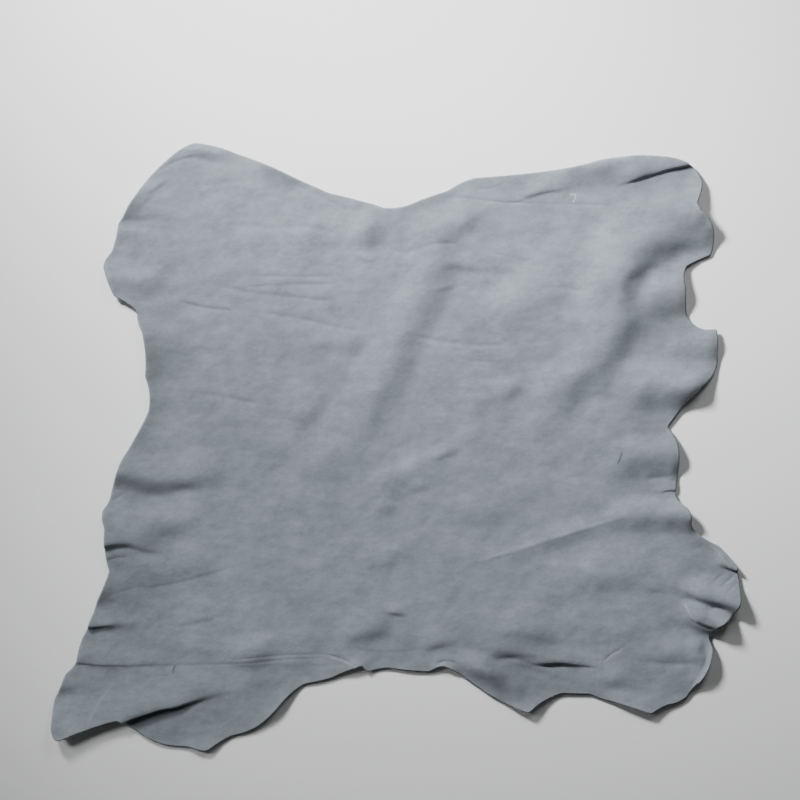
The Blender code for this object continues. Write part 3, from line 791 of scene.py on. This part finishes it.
def cut_into_triangles(points, count):
    """The flat points and their triangles, inside the edge that the first count points make."""
    sides = [(index, (index + 1) % count) for index in range(count)]
    filled = delaunay_2d_cdt([tuple(point) for point in points], sides, [], INSIDE, SAME_PLACE)
    if len(filled[0]) != len(points):
        raise ValueError("two points of the sheet lie on each other")
    return np.array([tuple(point) for point in filled[0]]), np.array(filled[2])


def area_of(loop):
    """The area inside the closed loop."""
    x, y = loop.T
    return abs(np.dot(x, np.roll(y, -1)) - np.dot(y, np.roll(x, -1))) / 2


def centre_of(corners):
    """The centre of the box round the seen edge."""
    edge = bowed(corners, EDGE_TRACE)
    return (edge.min(axis=0) + edge.max(axis=0)) / 2


def make_hide():
    """The hide's mesh, its flat size in metres and its flat area in square metres."""
    loop = flat_edge()
    count = len(loop)
    flat, triangles = cut_into_triangles(sheet_points(loop), count)
    distance = distance_to(tree_of(divided(loop, EDGE_TRACE)), flat)
    height, move = folded(flat)
    height += creased(flat) + edge_lift(distance, flat) + slow_waves(flat)
    seen = flat + move - centre_of(SEEN_EDGE)
    under = np.column_stack([seen, height - height.min()])
    points, faces, slots = closed_sheet(under, triangles, count)
    mesh = bpy.data.meshes.new("hide_sheet")
    mesh.from_pydata((points * METRE).tolist(), [], faces)
    mesh.polygons.foreach_set("material_index", slots)
    mesh.polygons.foreach_set("use_smooth", [slot != CUT_EDGE for slot in slots])
    ragged = 0.5 + 0.5 * waves(flat, WORN_LENGTH, WEAR_SLICE)
    worn_edge = WORN_STRENGTH * np.clip(1 - distance / (WORN_WIDTH * ragged), 0, 1)
    # paler marks: scratches, nicks and the worn edge, and painted highlights on three lit lips
    scuffs_and_highlights = np.maximum(marked(SCUFFS_AND_HIGHLIGHTS, flat), worn_edge)
    nicks = marked(DARK_NICKS, flat)
    # the dye values hold painted shade and painted light as well as uneven dye
    paler = 1 + shade_and_dye_of(flat)
    add_values(mesh, "dye", np.concatenate([paler, paler, paler[:count]]))
    add_values(mesh, "scuff_and_highlight", np.concatenate([scuffs_and_highlights, scuffs_and_highlights, np.ones(count)]))
    add_values(mesh, "nick", np.concatenate([nicks, nicks, np.zeros(count)]))
    mesh.update()
    size = loop.max(axis=0) - loop.min(axis=0)
    return mesh, size * METRE, area_of(loop) * METRE * METRE


# ---------------------------------------------------------------- finishes

def linear(code):
    """An sRGB hex colour as the linear values that a shader takes."""
    values = [int(code[start:start + 2], 16) / 255 for start in (0, 2, 4)]
    red, green, blue = (
        v / 12.92 if v <= 0.04045 else ((v + 0.055) / 1.055) ** 2.4 for v in values
    )
    return red, green, blue, 1.0


def add(tree, kind, inputs=None, **settings):
    """Adds a node with its settings; an input is given a value or the socket that feeds it."""
    made = tree.nodes.new(kind)
    for name, value in settings.items():
        setattr(made, name, value)
    for name, value in (inputs or {}).items():
        if isinstance(value, bpy.types.NodeSocket):
            tree.links.new(value, made.inputs[name])
        else:
            made.inputs[name].default_value = value
    return made


def start_material(name):
    """A new material's node tree and its shader."""
    material = bpy.data.materials.new(name)
    material.use_nodes = True
    return material, material.node_tree, material.node_tree.nodes["Principled BSDF"]


def per_metre(millimetres):
    """A noise scale whose bumps are about this far apart."""
    return 1000.0 / millimetres


DEEP_DYE, PALE_DYE = "60686f", "818a92"
# the paler nap of scratches and rubbed places, also used for the painted highlights on lit lips
RUBBED_NAP_AND_HIGHLIGHT = "b3bac0"
NICK_SHADE = "2c3135"


def nubuck_face():
    """Chrome-tanned goat, drum-dyed blue grey and buffed on the grain: a matt nap of fibres
    under half a millimetre long, which lies one way or another and so goes lighter or darker in
    soft clouds, with the pores and growth lines of the skin just showing."""
    material, tree, shader = start_material("nubuck_face")
    place = add(tree, "ShaderNodeTexCoord").outputs["Object"]
    drawn = add(tree, "ShaderNodeMapping", {
        "Vector": place, "Rotation": (0.0, 0.0, 0.3), "Scale": (1.0, 0.55, 1.0),
    }, vector_type="TEXTURE").outputs["Vector"]
    clouds = add(tree, "ShaderNodeTexNoise", {
        "Vector": drawn, "Scale": per_metre(70), "Detail": 7.0, "Roughness": 0.88,
    }).outputs["Fac"]
    shade = add(tree, "ShaderNodeMapRange", {"Value": clouds, "From Min": 0.32, "From Max": 0.68})
    dye = add(tree, "ShaderNodeMix", {
        "Factor": shade.outputs["Result"], "A": linear(DEEP_DYE), "B": linear(PALE_DYE),
    }, data_type="RGBA").outputs["Result"]
    brushed = add(tree, "ShaderNodeMapping", {
        "Vector": place, "Rotation": (0.0, 0.0, -0.1), "Scale": (1.0, 0.14, 1.0),
    }, vector_type="TEXTURE").outputs["Vector"]
    streaks = add(tree, "ShaderNodeTexNoise", {
        "Vector": brushed, "Scale": per_metre(90), "Detail": 5.0, "Roughness": 0.7,
    }).outputs["Fac"]
    lean = add(tree, "ShaderNodeMapRange", {
        "Value": streaks, "From Min": 0.3, "From Max": 0.7, "To Min": 0.93, "To Max": 1.07,
    }).outputs["Result"]
    # The dye values darken and lighten the colour: painted shade and painted light, in part uneven
    # dye.
    painted_shade_and_dye = add(tree, "ShaderNodeAttribute", attribute_name="dye").outputs["Fac"]
    depth = add(tree, "ShaderNodeMath", {0: lean, 1: painted_shade_and_dye}, operation="MULTIPLY")
    depth = depth.outputs["Value"]
    napped = add(tree, "ShaderNodeVectorMath", {0: dye, "Scale": depth}, operation="SCALE")
    napped = napped.outputs["Vector"]
    # The scuff values make the nap paler for scratches, nicks and the worn edge, and paint
    # highlights on three lit lips.
    scuff_and_highlight = add(tree, "ShaderNodeAttribute", attribute_name="scuff_and_highlight").outputs["Fac"]
    scuffed_and_highlit = add(tree, "ShaderNodeMix", {
        "Factor": scuff_and_highlight, "A": napped, "B": linear(RUBBED_NAP_AND_HIGHLIGHT),
    }, data_type="RGBA").outputs["Result"]
    nick = add(tree, "ShaderNodeAttribute", attribute_name="nick").outputs["Fac"]
    nicked = add(tree, "ShaderNodeMix", {
        "Factor": nick, "A": scuffed_and_highlit, "B": linear(NICK_SHADE),
    }, data_type="RGBA").outputs["Result"]
    # The fibres of the nap are too fine to show: they are drawn 2.5 mm apart.
    nap = add(tree, "ShaderNodeTexNoise", {
        "Vector": place, "Scale": per_metre(2.5), "Detail": 3.0, "Roughness": 0.7,
    }).outputs["Fac"]
    raised = add(tree, "ShaderNodeBump", {"Height": nap, "Strength": 0.6, "Distance": 0.0003})
    tree.links.new(nicked, shader.inputs["Base Color"])
    tree.links.new(raised.outputs["Normal"], shader.inputs["Normal"])
    shader.inputs["Roughness"].default_value = 0.9
    shader.inputs["Sheen Weight"].default_value = 0.3
    shader.inputs["Sheen Roughness"].default_value = 0.55
    return material


def loose_fibres(name, spacing, detail, dark, pale, roughness):
    """Leather with its fibres bare, darker and paler. They are too fine to show, so they are
    drawn as bundles, this many millimetres apart."""
    material, tree, shader = start_material(name)
    place = add(tree, "ShaderNodeTexCoord").outputs["Object"]
    fibres = add(tree, "ShaderNodeTexNoise", {
        "Vector": place, "Scale": per_metre(spacing), "Detail": detail, "Roughness": 0.7,
    }).outputs["Fac"]
    dye = add(tree, "ShaderNodeMix", {
        "Factor": fibres, "A": linear(dark), "B": linear(pale),
    }, data_type="RGBA").outputs["Result"]
    tree.links.new(dye, shader.inputs["Base Color"])
    shader.inputs["Roughness"].default_value = roughness
    return material


def flesh_side():
    """The suede underside: the same dye on longer, looser fibres, so paler and rougher."""
    return loose_fibres("flesh_side", spacing=5, detail=5.0, dark="777e83", pale="94999c",
                        roughness=0.95)


def cut_edge():
    """The raw edge, where the dye hasn't gone right through the leather, so it is paler."""
    return loose_fibres("cut_edge", spacing=3, detail=4.0, dark="747b80", pale="979ca0",
                        roughness=0.9)


def floor_paper():
    """A roll of matt white background paper."""
    material, _, shader = start_material("floor_paper")
    shader.inputs["Base Color"].default_value = linear("f1f2f3")
    shader.inputs["Roughness"].default_value = 0.9
    return material


# ---------------------------------------------------------------- the piece, the floor, the light

def place_hide():
    mesh, size, area = make_hide()
    hide = bpy.data.objects.new("hide_sheet", mesh)
    bpy.context.collection.objects.link(hide)
    for material in (nubuck_face(), flesh_side(), cut_edge()):
        mesh.materials.append(material)
    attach(hide, "root")
    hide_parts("hide")


FLOOR_SIZE = 8.0  # metres
FLOOR_DROP = 0.0002  # just under the hide, in metres


def place_floor():
    mesh = bpy.data.meshes.new("floor")
    half = FLOOR_SIZE / 2
    corners = [(-half, -half), (half, -half), (half, half), (-half, half)]
    mesh.from_pydata([(x, y, -FLOOR_DROP) for x, y in corners], [], [(0, 1, 2, 3)])
    mesh.materials.append(floor_paper())
    floor = bpy.data.objects.new("floor", mesh)
    bpy.context.collection.objects.link(floor)


# The key stands past the neck, on the left: it rakes the folds and falls off towards the tail.
# A broad, weak lamp at the top right opens their shade a little, and a small one on the left
# lights the hind leg. Places in metres, power in watts, spread in degrees.
Lamp = namedtuple("Lamp", "name place target size power spread")
LAMPS = (
    Lamp("key", (-1.12, 1.48, 1.28), (0.37, 0.42, 0.0), 0.5, 26.0, 74.0),
    Lamp("top", (0.7, 1.3, 1.25), (0.1, 0.3, 0.0), 0.8, 4.2, 120.0),
    Lamp("low", (-1.45, 0.25, 1.15), (-0.36, -0.5, 0.0), 0.5, 1.0, 50.0),
)
SKY_STRENGTH = 0.04


def place_lights():
    for lamp in LAMPS:
        light = bpy.data.lights.new(lamp.name, "AREA")
        light.shape = "DISK"
        light.size = lamp.size
        light.energy = lamp.power
        light.spread = math.radians(lamp.spread)
        holder = bpy.data.objects.new(lamp.name, light)
        holder.location = lamp.place
        aim = Vector(lamp.target) - Vector(lamp.place)
        holder.rotation_euler = aim.to_track_quat("-Z", "Y").to_euler()
        bpy.context.collection.objects.link(holder)
    world = bpy.data.worlds.new("studio")
    world.use_nodes = True
    sky = world.node_tree.nodes["Background"]
    sky.inputs["Color"].default_value = (1.0, 1.0, 1.0, 1.0)
    sky.inputs["Strength"].default_value = SKY_STRENGTH
    bpy.context.scene.world = world


CAMERA_PLACE = (0.0063, 0.0705, 3.0)  # straight above, a little toward the neck
LENS = 90.0  # with a 36 mm sensor this takes in 1.2 m at the floor


def place_camera():
    camera = bpy.data.cameras.new("camera")
    camera.lens = LENS
    camera.sensor_width = 36.0
    holder = bpy.data.objects.new("camera", camera)
    holder.location = CAMERA_PLACE
    bpy.context.collection.objects.link(holder)
    bpy.context.scene.camera = holder


place_hide()
place_floor()
place_lights()
place_camera()
